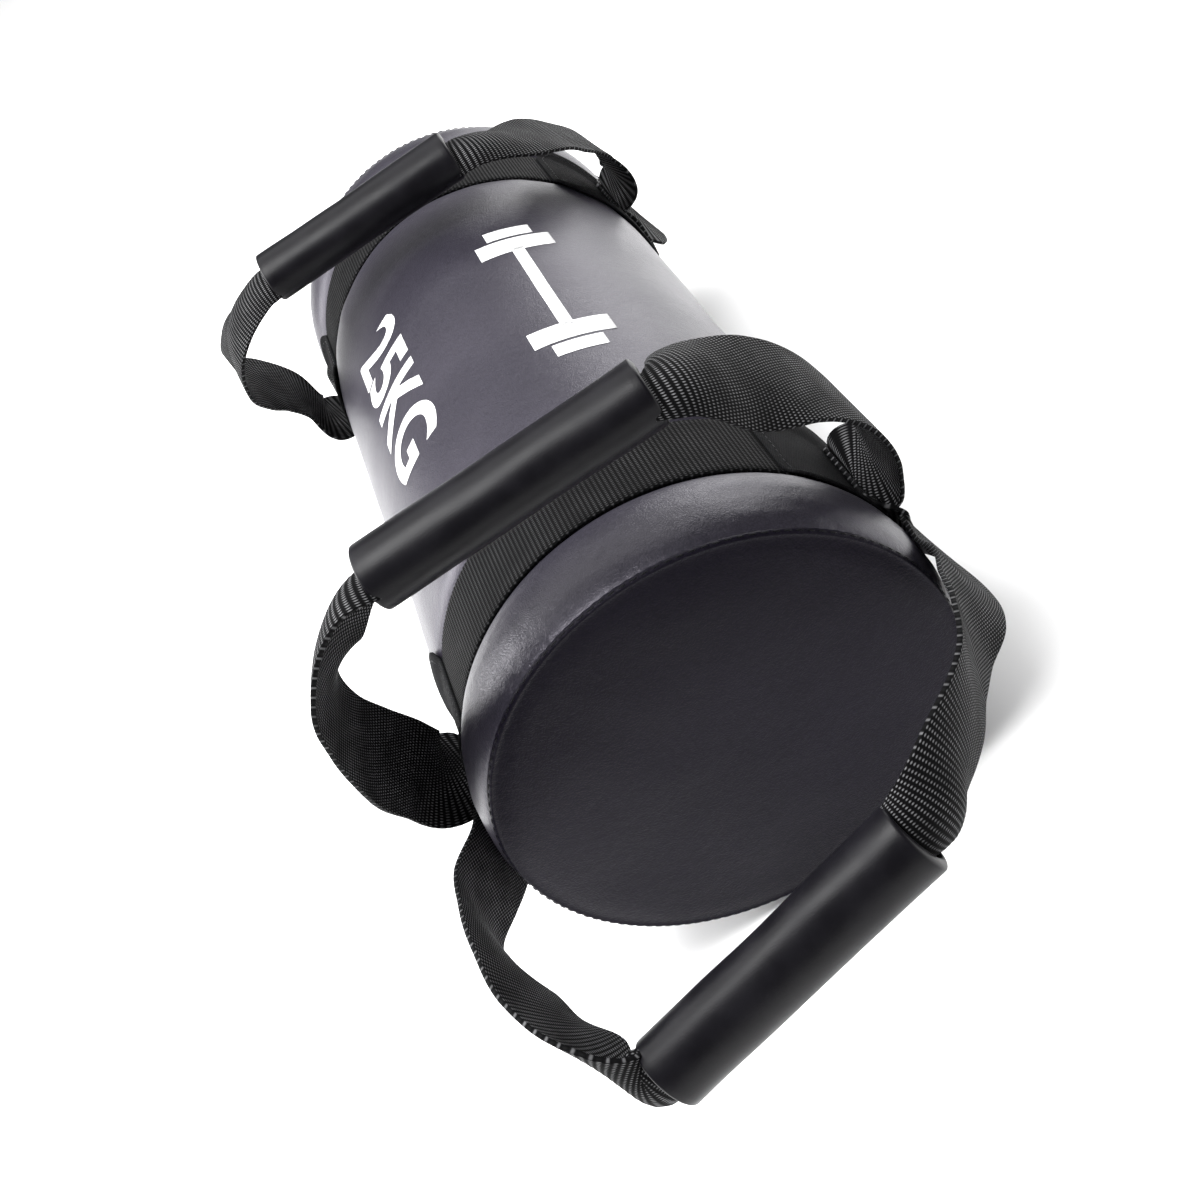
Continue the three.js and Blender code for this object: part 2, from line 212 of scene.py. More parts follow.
# %% Coated cloth
def coated_cloth(name, colour, worn, roughness, gloss_level, grain=780.0, depth=0.13 * MM):
    material, tree, shader = new_material(
        name, colour, roughness, Specular_IOR_Level=gloss_level, Specular_Tint=(0.92, 0.88, 1.0, 1.0)
    )
    place = add_node(tree, "TexCoord").outputs["Object"]
    drift = add_node(tree, "TexNoise", {"Vector": place, "Scale": 160.0, "Detail": 3.0})
    bend = {0: 0.006, 4: place, 5: drift.outputs["Color"]}
    bent = add_node(tree, "Mix", bend, data_type="VECTOR").outputs[1]
    cell = {"Vector": bent, "Scale": grain, "Randomness": 0.95}
    cells = add_node(tree, "TexVoronoi", cell, feature="DISTANCE_TO_EDGE").outputs["Distance"]
    pebbles = ramp(tree, cells, 0.0, 0.22, 0.0, 1.0)
    fine = noise_value(tree, place, 2600.0, 2.0)
    wrinkle = noise_value(tree, place, 190.0, 5.0, Distortion=1.2)
    height = do_math(tree, "MULTIPLY_ADD", fine, 0.25, pebbles)
    grained = bump_from(tree, height, depth, 0.38)
    tree.links.new(bump_from(tree, wrinkle, 0.7 * MM, 0.25, grained), shader.inputs["Normal"])
    wide = noise_value(tree, place, 11.0, 4.0)
    tone = mix_colour(tree, ramp(tree, wide, 0.35, 0.7, 0.0, 1.0), colour, worn)
    # Painted shade: the colour is darkened towards near black in the valleys between the pebbles, where
    # shade falls.
    tone_with_painted_valley_shade = mix_colour(tree, ramp(tree, pebbles, 0.0, 1.0, 0.45, 0.0), tone, (0.003, 0.003, 0.004))
    tree.links.new(tone_with_painted_valley_shade, shader.inputs["Base Color"])
    gloss = ramp(tree, wide, 0.3, 0.75, roughness - 0.05, roughness + 0.09)
    tree.links.new(gloss, shader.inputs["Roughness"])
    return material


panel_cloth = coated_cloth("panel_cloth", (0.022, 0.020, 0.029), (0.030, 0.027, 0.038), 0.36, 0.42)
disc_cloth = coated_cloth(
    "disc_cloth", (0.0058, 0.0047, 0.0095), (0.0095, 0.0078, 0.0145), 0.40, 0.09, 640.0, 0.22 * MM
)

# %% [markdown]
# Webbing is woven: heavy cross ribs, each crossed by fine warp threads. Where they cross, the
# colour is lightened into rows of small bright dots: a painted highlight of the light that the
# raised knots catch. The pattern is worked out from the strip's own UV map, whose u runs along
# the webbing and v across it, both in metres, so it follows every bend and twist.

# %% Webbing
RIB_PITCH = 2.2 * MM
WARP_PITCH = 1.3 * MM


def woven(name, colour, knot_highlight_colour, roughness, rib=RIB_PITCH, warp=WARP_PITCH, depth=0.20 * MM):
    material, tree, shader = new_material(name, colour, roughness, Specular_IOR_Level=0.09)
    where = add_node(tree, "UVMap", uv_map="strip").outputs["UV"]
    parts = add_node(tree, "SeparateXYZ", {"Vector": where})
    ribs = do_math(tree, "DIVIDE", parts.outputs["X"], rib)
    row = do_math(tree, "FLOOR", ribs)
    shifted = do_math(tree, "MULTIPLY_ADD", row, 0.5, do_math(tree, "DIVIDE", parts.outputs["Y"], warp))
    along = do_math(tree, "ABSOLUTE", do_math(tree, "SINE", do_math(tree, "MULTIPLY", ribs, math.pi)))
    over = do_math(tree, "ABSOLUTE", do_math(tree, "SINE", do_math(tree, "MULTIPLY", shifted, math.pi)))
    knot = do_math(tree, "MULTIPLY", do_math(tree, "POWER", along, 0.7), over)
    fuzz = noise_value(tree, where, 1500.0, 3.0, Roughness=0.7)
    height = do_math(tree, "MULTIPLY_ADD", fuzz, 0.30, knot)
    tree.links.new(bump_from(tree, height, depth, 0.9), shader.inputs["Normal"])
    patchy = noise_value(tree, where, 60.0, 4.0)
    # Painted highlight: the raised knots get a much lighter colour, standing in for the light they catch.
    dots = ramp(tree, knot, 0.62, 1.0, 0.0, 1.0)
    painted_knot_highlight = do_math(tree, "MULTIPLY", dots, ramp(tree, patchy, 0.3, 0.7, 0.3, 1.0))
    thread = mix_colour(tree, painted_knot_highlight, colour, knot_highlight_colour)
    tree.links.new(thread, shader.inputs["Base Color"])
    tree.links.new(ramp(tree, knot, 0.2, 1.0, 0.9, roughness), shader.inputs["Roughness"])
    return material


strap_webbing = woven("strap_webbing", (0.0010, 0.0010, 0.0013), (0.22, 0.22, 0.228), 0.45)
band_webbing = woven("band_webbing", (0.0008, 0.0008, 0.0010), (0.045, 0.045, 0.047), 0.50)
patch_cloth = woven(
    "patch_cloth", (0.003, 0.003, 0.0035), (0.022, 0.022, 0.024), 0.80, 0.9 * MM, 0.9 * MM, 0.22 * MM
)

# %% [markdown]
# The grips are moulded foam rubber: matte charcoal, with a skin that is only slightly uneven.
# Sewing thread is a glossy twisted nylon, and the print is a thick white ink with pinholes.


# %% Rubber, thread and ink
def moulded_rubber(name, colour, worn, roughness):
    material, tree, shader = new_material(name, colour, roughness, Specular_IOR_Level=0.13)
    place = add_node(tree, "TexCoord").outputs["Object"]
    skin = noise_value(tree, place, 1900.0, 3.0)
    soft = noise_value(tree, place, 70.0, 4.0)
    fine = bump_from(tree, skin, 0.10 * MM, 0.5)
    tree.links.new(bump_from(tree, soft, 0.5 * MM, 0.25, fine), shader.inputs["Normal"])
    tone = mix_colour(tree, ramp(tree, soft, 0.35, 0.7, 0, 1), colour, worn)
    tree.links.new(tone, shader.inputs["Base Color"])
    gloss = ramp(tree, soft, 0.3, 0.7, roughness - 0.05, roughness + 0.06)
    tree.links.new(gloss, shader.inputs["Roughness"])
    return material


def speckled(name, colour, second, roughness, scale, depth, gloss_level=0.5):
    """A plain matt finish with a second tone and some relief, for thread, ink and the filling."""
    material, tree, shader = new_material(name, colour, roughness, Specular_IOR_Level=gloss_level)
    place = add_node(tree, "TexCoord").outputs["Object"]
    spots = noise_value(tree, place, scale, 4.0)
    tone = mix_colour(tree, ramp(tree, spots, 0.42, 0.62, 0, 1), colour, second)
    tree.links.new(tone, shader.inputs["Base Color"])
    tree.links.new(bump_from(tree, spots, depth, 0.6), shader.inputs["Normal"])
    return material


grip_rubber = moulded_rubber("grip_rubber", (0.004, 0.0037, 0.005), (0.006, 0.0056, 0.0075), 0.37)
thread = speckled("thread", (0.002, 0.002, 0.003), (0.010, 0.010, 0.012), 0.4, 3000.0, 0.15 * MM, 0.12)
ink = speckled("ink", (0.80, 0.80, 0.80), (0.68, 0.68, 0.69), 0.45, 420.0, 0.08 * MM)
foam = speckled("foam", (0.68, 0.65, 0.56), (0.60, 0.57, 0.48), 0.95, 900.0, 0.4 * MM)
sack_cloth = speckled("sack_cloth", (0.33, 0.30, 0.25), (0.25, 0.22, 0.18), 0.9, 700.0, 0.4 * MM)
sand = speckled("sand", (0.47, 0.35, 0.18), (0.30, 0.21, 0.10), 1.0, 1400.0, 0.8 * MM)

# %% [markdown]
# What can't be seen is still there: foam sheets, the inner sack and the sand keep their solids
# from the frame, and only get their finish.

# %% Hidden pieces keep their solids
HIDDEN = {
    "foam_sleeve": foam,
    "front_foam_pad": foam,
    "back_foam_pad": foam,
    "filler_sack": sack_cloth,
    "sand_filling": sand,
}
for node_name, material in HIDDEN.items():
    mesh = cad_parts[node_name].data
    mesh.materials.clear()
    mesh.materials.append(material)
print("finished", len(HIDDEN), "hidden pieces")

# %% [markdown]
# The bag is nearly a cylinder, but what makes it look sewn and filled is where it isn't: the ring
# between the end seam and the band swells, the band draws a groove, and folds run out from under
# the band and die away. The whole outside is one function of the distance from the nearer seam
# and the angle round the axis, so that the panel and the print agree on it; the patches have a
# profile of their own.

# %% The outside of the bag as a function
PANEL_PROFILE = (  # distance from the seam, and height over the bag's radius, both in mm
    (0, -2.4), (1.2, -1.2), (3.6, 0.0), (9, 1.7), (17, 3.0),
    (26, 3.3), (36, 2.2), (43, 0.0), (46, -1.9), (48.5, -4.3),
    (52, -4.7), (92, -4.7), (95.5, -4.3), (98.5, -2.2), (104, -0.8),
    (113, -0.1), (128, 0.3), (165, 0.2), (250, 0.0),
)
STITCH_COUNT = 137  # round each end seam, 5 mm apart
PUCKER, CREEP, SLACK, FOLD, UNEVEN = 0.55, 0.45, 0.5, 1.3, 1.1  # heights of the relief, in mm
BAND_SHOULDER = 96  # from the seam to where the folds leave the band, in mm
PANEL_SEEDS = {"front": 3.0, "back": 8.0}


def curve_through(knots, x):
    """A smooth curve through (x, y) knots with rising x: cubic pieces with even slopes."""
    last = len(knots) - 1
    i = next((n for n in range(last) if x <= knots[n + 1][0]), last - 1)

    def slope(n):
        low, high = knots[max(n - 1, 0)], knots[min(n + 1, last)]
        return (high[1] - low[1]) / (high[0] - low[0])

    (x0, y0), (x1, y1) = knots[i], knots[i + 1]
    t = min(max((x - x0) / (x1 - x0), 0), 1)
    run = x1 - x0
    rise = (2 * t**3 - 3 * t**2 + 1) * y0 + (3 * t**2 - 2 * t**3) * y1
    return rise + run * ((t**3 - 2 * t**2 + t) * slope(i) + (t**3 - t**2) * slope(i + 1))


def ease(x, low, high):
    """0 below low, 1 above high, smooth between."""
    t = min(max((x - low) / (high - low), 0), 1)
    return t * t * (3 - 2 * t)


def panel_relief(distance, angle, seed):
    """Puckers and slack at the seam, folds beside the band and a slight unevenness, in mm."""
    round_place = Vector((math.cos(angle), math.sin(angle), 0))
    pucker = -PUCKER * (0.5 + 0.5 * math.cos(STITCH_COUNT * angle)) * math.exp(-distance / 2.2)
    creep = CREEP * noise.noise(round_place * 11 + Vector((seed, 0, distance * 0.05)))
    ring = creep * math.exp(-distance / 14) * ease(distance, 0, 4)
    slack = SLACK * noise.noise(round_place * 3.2 + Vector((seed, distance / 5.5, seed)))
    ring += slack * ease(distance, 2, 9) * (1 - ease(distance, 34, 44))
    fold_pattern = noise.noise(round_place * 5.5 + Vector((0, seed, distance * 0.012)))
    past_band = max(distance - BAND_SHOULDER, 0)
    folds = FOLD * fold_pattern * math.exp(-past_band / 30)
    folds *= ease(distance, BAND_SHOULDER, BAND_SHOULDER + 8)
    uneven = UNEVEN * noise.noise(round_place * 1.6 + Vector((0, seed, distance * 0.011)))
    return pucker + ring + folds + uneven * ease(distance, 100, 150)


def around_axis(radius, angle, y):
    """A point at that radius from the bag's axis; angle is from the top, positive to the right."""
    return Vector((radius * math.sin(angle), y, AXIS_HEIGHT + radius * math.cos(angle)))


def press_flat(point):
    """The bag's weight presses its underside flat, each layer by the same depth."""
    radius = math.hypot(point.x, point.z - AXIS_HEIGHT)
    lowest = AXIS_HEIGHT - (min(radius, BAG_RADIUS) - REST_SAG)
    return Vector((point.x, point.y, max(point.z, lowest)))


def on_panel(y, angle, lift=0.0):
    """A point on the panel."""
    from_seam = (HALF_LENGTH - abs(y)) / MM
    seed = PANEL_SEEDS["front" if y < 0 else "back"]
    height = curve_through(PANEL_PROFILE, from_seam) + panel_relief(from_seam, angle, seed)
    return around_axis(BAG_RADIUS + height * MM + lift, angle, y)


print("radius at the band's middle:", round(on_panel(-HALF_LENGTH + BAND_CENTRE, 0).z - AXIS_HEIGHT, 4))


# %% [markdown]
# A turned piece starts as a line of vertices beside the axis. The spin operator sweeps it round
# and closes it on itself. A cylinder with extra loops would do too, but the line puts the loops
# where the detail is: close together at the seam, far apart along the plain middle.

# %% Helpers: turned pieces
MERGE = 0.01 * MM


def spin_line(points, centre, axis, steps):
    """A bmesh of a line of points, swept once round an axis and closed on itself."""
    bm = bmesh.new()
    verts = [bm.verts.new(point) for point in points]
    geom = verts + [bm.edges.new(pair) for pair in zip(verts, verts[1:])]
    turn = 2 * math.pi
    bmesh.ops.spin(bm, geom=geom, cent=centre, axis=axis, angle=turn, steps=steps, use_merge=True)
    bmesh.ops.remove_doubles(bm, verts=bm.verts, dist=MERGE)
    return bm


def spun(profile, steps):
    """The (radius, y) profile swept round the bag's axis, its faces pointing outwards."""
    points = [(0, y, AXIS_HEIGHT + radius) for radius, y in profile]
    bm = spin_line(points, (0, 0, AXIS_HEIGHT), (0, 1, 0), steps)
    bmesh.ops.recalc_face_normals(bm, faces=bm.faces)
    return bm


def angle_of(point):
    """The angle from the top round the bag's axis."""
    return math.atan2(point.x, point.z - AXIS_HEIGHT)


# %% Side panel
ROWS = [0, 0.6, 1.4, 2.4, 3.8, 5.6, 8, 11, 14, 18, 22, 26, 30, 34, 38, 42, 45, 47, 48.5, 50]
ROWS += [54, 72, 90, 94, 95.5, 97, 99, 102, 106, 110, 115, 120, 126, 133, 141, 150]
ROWS += [160, 172, 185, 200, 216, 233, 250]
STEPS_PER_STITCH = 3
PANEL_THICKNESS = 1.6 * MM

front_rows = [-HALF_LENGTH + row * MM for row in ROWS]
panel_ys = front_rows + [-y for y in reversed(front_rows[:-1])]
bm = spun([(BAG_RADIUS, y) for y in panel_ys], STITCH_COUNT * STEPS_PER_STITCH)
for vert in bm.verts:
    vert.co = press_flat(on_panel(vert.co.y, angle_of(vert.co)))
side_panel = finish_piece(
    "side_panel_skin", bm, panel_cloth, "bag", ["side_panel"], (PANEL_THICKNESS, -1)
)

# %% [markdown]
# Each end is a disc of the same cloth, sewn to the tube and pushed out a little by the filling.
# Its rim stands up as a fine bead beside the seam, and slack in the cloth makes shallow dents.

# %% End discs
DISC_PROFILE = (  # distance in from the rim, and height out of the seam's plane, both in mm
    (0, -1.0), (0.6, 0.5), (1.3, 1.1), (2.4, 0.75), (4.5, 0.9),
    (10, 1.8), (30, 3.2), (60, 4.6), (109.2, 5.2),
)
DISC_ROWS = [0, 0.3, 0.6, 0.9, 1.3, 1.8, 2.4, 3.4, 5, 7, 10, 14, 18, 23, 28, 34]
DISC_ROWS += [40, 47, 54, 62, 70, 79, 88, 98, 109.2]
DISC_RIM = BAG_RADIUS - SEAM_TUCK
RIM_PUCKER, WIDE_DENT, SMALL_DENT = 0.45, 1.6, 0.5  # heights of the relief, in mm
DISC_SEED = 40 * MM


def disc_relief(distance, x, z, seed):
    """Stitch puckers at the rim and shallow dents in the middle, in mm."""
    angle = math.atan2(x, z)
    pucker = -RIM_PUCKER * (0.5 + 0.5 * math.cos(STITCH_COUNT * angle)) * math.exp(-distance / 1.6)
    place = Vector((x, z, seed)) / MM
    dents = WIDE_DENT * noise.noise(place / 75) + SMALL_DENT * noise.noise(place / 28)
    return pucker + dents * ease(distance, 4, 30)


for end, sign in ENDS.items():
    disc_line = [(DISC_RIM - row * MM, sign * HALF_LENGTH) for row in DISC_ROWS]
    bm = spun(disc_line, STITCH_COUNT * STEPS_PER_STITCH)
    for vert in bm.verts:
        x, z = vert.co.x, vert.co.z - AXIS_HEIGHT
        distance = (DISC_RIM - math.hypot(x, z)) / MM
        height = curve_through(DISC_PROFILE, distance) + disc_relief(distance, x, z, DISC_SEED * sign)
        vert.co = press_flat(Vector((vert.co.x, sign * (HALF_LENGTH + height * MM), vert.co.z)))
    disc = finish_piece(
        f"{end}_disc_skin", bm, disc_cloth, "bag", [f"{end}_end_disc"], (PANEL_THICKNESS, -1)
    )

# %% [markdown]
# Thread is geometry: every visible stitch is one small spindle, laid end to end along a line. A
# curve with a bevel would give a smooth wire; separate spindles show the gaps where the thread
# dives into the cloth. The spindle has few faces because it is repeated thousands of times.

# %% Helper: sew a line of stitches
stitch_shape = bpy.data.meshes.new("stitch_shape")
bm = bmesh.new()
bmesh.ops.create_uvsphere(bm, u_segments=6, v_segments=4, radius=0.5)
bm.to_mesh(stitch_shape)
bm.free()


def stitch_row(bm, places, length, thickness, sink=0.0):
    """Lays one stitch at each (point, direction, outward) in places."""
    for point, direction, outward in places:
        first = len(bm.verts)
        bm.from_mesh(stitch_shape)
        bm.verts.ensure_lookup_table()
        run = direction.normalized()
        out = (outward - run * outward.dot(run)).normalized()
        turn = Matrix((run.cross(out), out, run)).transposed().to_4x4()
        size = Matrix.Diagonal((thickness, thickness * 0.7, length, 1))
        move = Matrix.Translation(point + out * (thickness * 0.15 - sink))
        bmesh.ops.transform(bm, matrix=move @ turn @ size, verts=bm.verts[first:])


def spaced(points, pitch):
    """(point, direction) at even steps along a line of points."""
    found = []
    for start, end in zip(points, points[1:]):
        run = end - start
        count = max(1, round(run.length / pitch))
        for i in range(count):
            found.append((start + run * ((i + 0.5) / count), run))
    return found


# %% End seams
SEAM_STITCH = 3.6 * MM
THREAD = 0.65 * MM
SEAM_INSET = 1.1 * MM  # how far in from the bag's radius the seam's thread runs

for end, sign in ENDS.items():
    bm = bmesh.new()
    places = []
    for i in range(STITCH_COUNT):
        angle = 2 * math.pi * (i + 0.5) / STITCH_COUNT
        spot = around_axis(BAG_RADIUS - SEAM_INSET, angle, sign * HALF_LENGTH)
        around = Vector((math.cos(angle), 0, -math.sin(angle)))
        outward = Vector((math.sin(angle), sign, math.cos(angle)))
        places.append((press_flat(spot), around, outward))
    stitch_row(bm, places, SEAM_STITCH, THREAD)
    finish_piece(f"{end}_seam_thread", bm, thread, "bag")

# %% [markdown]
# A girth band is a belt of ribbed webbing. Its ribs are deep enough to catch the light, so they
# are in the mesh: the section is spun in steps that put four vertices on every rib.

# %% Girth bands
RIB_HEIGHT = 0.16 * MM
RIB_SAMPLES = 4
EDGE_ROUND = 0.7 * MM
BAND_COLUMNS = 12


def strip_uv(bm, u_of, v_of):
    """The strip's UV map in metres. A face that crosses the start of a loop is unwrapped."""
    layer = bm.loops.layers.uv.new("strip")
    for face in bm.faces:
        us = [u_of(loop.vert) for loop in face.loops]
        turn = 2 * math.pi * BAND_OUTER if max(us) - min(us) > BAND_OUTER else 0
        for loop, u in zip(face.loops, us):
            loop[layer].uv = (u + turn if turn and u < 0 else u, v_of(loop.vert))


band_half = WEBBING_WIDTH / 2
band_inner = BAND_OUTER - WEBBING_THICKNESS
rib_count = round(2 * math.pi * BAND_OUTER / RIB_PITCH)
for end, sign in ENDS.items():
    centre = sign * BAND_Y
    flat = band_half - EDGE_ROUND
    section = [(band_inner, -band_half), (BAND_OUTER - EDGE_ROUND, -band_half)]
    section += [(BAND_OUTER, -flat + 2 * flat * i / BAND_COLUMNS) for i in range(BAND_COLUMNS + 1)]
    section += [(BAND_OUTER - EDGE_ROUND, band_half), (band_inner, band_half), (band_inner, -band_half)]
    bm = spun([(radius, centre + y) for radius, y in section], rib_count * RIB_SAMPLES)
    strip_uv(bm, lambda vert: angle_of(vert.co) * BAND_OUTER, lambda vert: vert.co.y)
    for vert in bm.verts:
        angle = angle_of(vert.co)
        radius = math.hypot(vert.co.x, vert.co.z - AXIS_HEIGHT)
        if radius > band_inner + EDGE_ROUND / 2:
            radius += RIB_HEIGHT * math.cos(rib_count * angle)
        vert.co = press_flat(around_axis(radius, angle, vert.co.y))
    finish_piece(f"{end}_band_belt", bm, band_webbing, "bag", [f"{end}_girth_band"])

# %% [markdown]
# The patches are rough cloth rectangles with round corners, sewn over the band at both sides.
# Each is drawn flat, cut into small squares with the bisect operator so that it can bend, and
# then wrapped on the bag. It dips over the band, and its own stitching pulls it down near its
# edge.

# %% Patches
PATCH_ALONG = 68 * MM
PATCH_AROUND = 138 * MM
PATCH_CORNER = 14 * MM
PATCH_LEAD = 30 * MM  # from its edge on the ring to the band's middle
PATCH_THICKNESS = 1.4 * MM
PATCH_HEM = 4.0 * MM
CUT_PITCH = 2.0 * MM
HEM_PULL, EDGE_TUCK, CLOTH_LUMP = 0.45, 0.5, 0.12  # heights of the relief, in mm
PATCH_PROFILE = (  # distance from the band's middle towards the bag's middle, and height, in mm
    (-32, 1.9), (-29, 1.6), (-25, 0.2), (-22, -1.5), (0, -1.6),
    (22, -1.5), (27, 0.3), (33, 1.1), (40, 1.0),
)


def rounded_blank(width, height, corner, pitch):
    """A flat rounded rectangle in XY, cut into small squares."""
    bm = bmesh.new()
    bmesh.ops.create_grid(bm, x_segments=1, y_segments=1, size=0.5)
    bmesh.ops.scale(bm, vec=(width, height, 1), verts=bm.verts)
    bmesh.ops.bevel(
        bm, geom=bm.verts[:], offset=corner, offset_type="OFFSET", affect="VERTICES",
        segments=8, profile=0.5, material=-1,
    )
    cut_up(bm, (1, 0, 0), width, pitch)
    cut_up(bm, (0, 1, 0), height, pitch)
    return bm


def cut_up(bm, direction, extent, pitch):
    """Slices the mesh by planes across direction, pitch apart."""
    count = round(extent / pitch)
    for i in range(1, count):
        place = Vector(direction) * (extent * (i / count - 0.5))
        geom = bm.verts[:] + bm.edges[:] + bm.faces[:]
        bmesh.ops.bisect_plane(bm, geom=geom, plane_co=place, plane_no=direction, dist=0.001 * MM)


def inside_edge(x, y, width, height, corner):
    """How far a point of the blank is inside its outline."""
    dx = abs(x) - (width / 2 - corner)
    dy = abs(y) - (height / 2 - corner)
    outside = math.hypot(max(dx, 0), max(dy, 0)) + min(max(dx, dy), 0)
    return corner - outside


def on_patch(end_sign, side_sign, along, around, lift=0.0):
    """A point of a patch. along is from the band's middle to the bag's, around is upwards."""
    centre = end_sign * BAND_Y
    angle = side_sign * (math.pi / 2 - around / BAG_RADIUS)
    radius = BAG_RADIUS + curve_through(PATCH_PROFILE, along / MM) * MM + lift
    return around_axis(radius, angle, centre - end_sign * along)


patch_middle = PATCH_ALONG / 2 - PATCH_LEAD
PATCHES = [(f"{end}_{side}", ENDS[end], SIDES[side]) for end in ENDS for side in SIDES]
for name, end_sign, side_sign in PATCHES:
    bm = rounded_blank(PATCH_ALONG, PATCH_AROUND, PATCH_CORNER, CUT_PITCH)
    strip_uv(bm, lambda vert: vert.co.x, lambda vert: vert.co.y)
    for vert in bm.verts:
        x, y = vert.co.x, vert.co.y
        margin = inside_edge(x, y, PATCH_ALONG, PATCH_AROUND, PATCH_CORNER) / MM
        pull = HEM_PULL * math.exp(-(((margin - PATCH_HEM / MM) / 1.3) ** 2))
        tuck = EDGE_TUCK * math.exp(-margin)
        rough = CLOTH_LUMP * noise.noise(Vector((x, y, end_sign + 3 * side_sign)) / (6 * MM))
        lift = PATCH_THICKNESS + (rough - pull - tuck) * MM
        vert.co = on_patch(end_sign, side_sign, x + patch_middle, y, lift)
    bmesh.ops.recalc_face_normals(bm, faces=bm.faces)
    outward = Vector((side_sign, 0, 0))
    if sum((face.normal.dot(outward) for face in bm.faces)) < 0:
        bmesh.ops.reverse_faces(bm, faces=bm.faces)
    finish_piece(
        f"{name}_patch_cloth", bm, patch_cloth, "bag",
        [f"{name}_patch"], (PATCH_THICKNESS, -1),
    )

# %% Patch stitching
PATCH_STITCH = 3.0 * MM
PATCH_PITCH = 4.0 * MM
FINE_THREAD = 0.6 * MM
PATCH_SINK = 0.35 * MM  # how deep the hem's thread pulls into the cloth
LOOK_AHEAD = 0.5 * MM  # a short step that gives a stitch its direction


def rounded_outline(width, height, corner, steps=6):
    """The corner-rounded outline as a closed line of points."""
    points = []
    for quarter, (sx, sy) in enumerate(((1, 1), (-1, 1), (-1, -1), (1, -1))):
        middle = Vector((sx * (width / 2 - corner), sy * (height / 2 - corner)))
        for i in range(steps + 1):
            angle = math.pi / 2 * (quarter + i / steps)
            points.append(middle + corner * Vector((math.cos(angle), math.sin(angle))))
    return points + points[:1]


for name, end_sign, side_sign in PATCHES:
    bm = bmesh.new()
    inset = 2 * PATCH_HEM
    outline = rounded_outline(PATCH_ALONG - inset, PATCH_AROUND - inset, PATCH_CORNER - PATCH_HEM)
    flat_points = [Vector((p.x, p.y, 0)) for p in outline]
    places = []
    for point, run in spaced(flat_points, PATCH_PITCH):
        lift = PATCH_THICKNESS - PATCH_SINK
        here = on_patch(end_sign, side_sign, point.x + patch_middle, point.y, lift)
        step = point + run.normalized() * LOOK_AHEAD
        there = on_patch(end_sign, side_sign, step.x + patch_middle, step.y, lift)
        outward = Vector((here.x, 0, here.z - AXIS_HEIGHT))
        places.append((here, there - here, outward))
    stitch_row(bm, places, PATCH_STITCH, FINE_THREAD)
    finish_piece(f"{name}_patch_thread", bm, thread, "bag")

# %% [markdown]
# The handles are one length of webbing each. The route below follows the frame's own stations:
# each is (out, along, off, twist) in the handle's leaning plane, where out is the share of the way
# from the grip's mouth to the sewn end, along is the share of the reach, off is the distance
# from the plane in mm and twist turns the webbing about its run in degrees. In places the twist
# is more or less than the plain solids have, so that the flat face shows where a real strap's
# does. Lean, turn, tip and roll are degrees; reach and shift are mm.

# %% Handle stations
HANDLES = {
    "front_top": {
        "end": "front", "lean": 19, "reach": 176, "shift": 5.5, "turn": -3.5, "tip": -3.5, "roll": -40,
        "mouth_twists": (-52, -8),
        "left": (
            (1.06, 0.2, 1, -30), (1.1, 0.33, 2, -34), (1.1, 0.46, 0, -30), (1.05, 0.6, -1, -20),
            (0.9, 0.75, 1, -22), (0.62, 0.88, 2, -46),
        ),
        "right": (
            (1.1, 0.16, -2, 4), (1.22, 0.29, -2, 0), (1.19, 0.43, 0, -4), (1.06, 0.55, 1, -2),
            (0.82, 0.67, 0, 4), (0.52, 0.8, -3, 14),
        ),
    },
    "back_top": {
        "end": "back", "lean": 25, "reach": 157, "shift": -9.5, "turn": -4, "tip": -4.5, "roll": -20,
        "left": (
            (1.08, 0.19, 8, 0), (1.12, 0.32, 18, -2), (1.29, 0.48, 19, 0), (1.42, 0.63, 12, 5),
            (1.28, 0.78, 6, -3), (0.9, 0.94, 4, -14),
        ),
        "right": (
            (1.08, 0.19, 8, -4), (1.06, 0.32, 20, -11), (0.92, 0.45, 19, -16), (0.78, 0.58, 12, -16),
            (0.64, 0.69, 5, -18), (0.42, 0.82, -1, -20),
        ),
    },
    "front_end": {
        "end": "front", "lean": 80, "reach": 203, "shift": -14.5, "turn": 9.5, "tip": -1, "roll": 0,
        "left": (
            (1, 0.15, -6, -4), (1.08, 0.28, 2, -12), (1.29, 0.42, 10, -14), (1.14, 0.55, 13, -6),
            (0.88, 0.69, 15, 8), (0.66, 0.82, 12, 16), (0.36, 0.93, 2, 22),
        ),
        "right": (
            (1, 0.15, -12, -10), (1.03, 0.29, -15, -14), (1.0, 0.42, -9, -8), (0.84, 0.55, 0, 4),
            (0.73, 0.68, 9, 14), (0.56, 0.81, 13, 17), (0.28, 0.93, 14, 12),
        ),
    },
}
mirrored = dict(HANDLES["front_end"], end="back", lean=-106, turn=-HANDLES["front_end"]["turn"])
for side in SIDES:
    mirrored[side] = tuple((o, a, -off, -twist) for o, a, off, twist in mirrored[side])
HANDLES["back_end"] = mirrored
print("handles:", ", ".join(HANDLES))

# %% [markdown]
# A station becomes a control point: a place, the direction across the webbing and how the
# webbing is curled there. Two extra stretches are added: the sewn ends, which lie on the bag and
# bend round it, and the stretch in the grip, where the webbing is rolled into a narrow C.

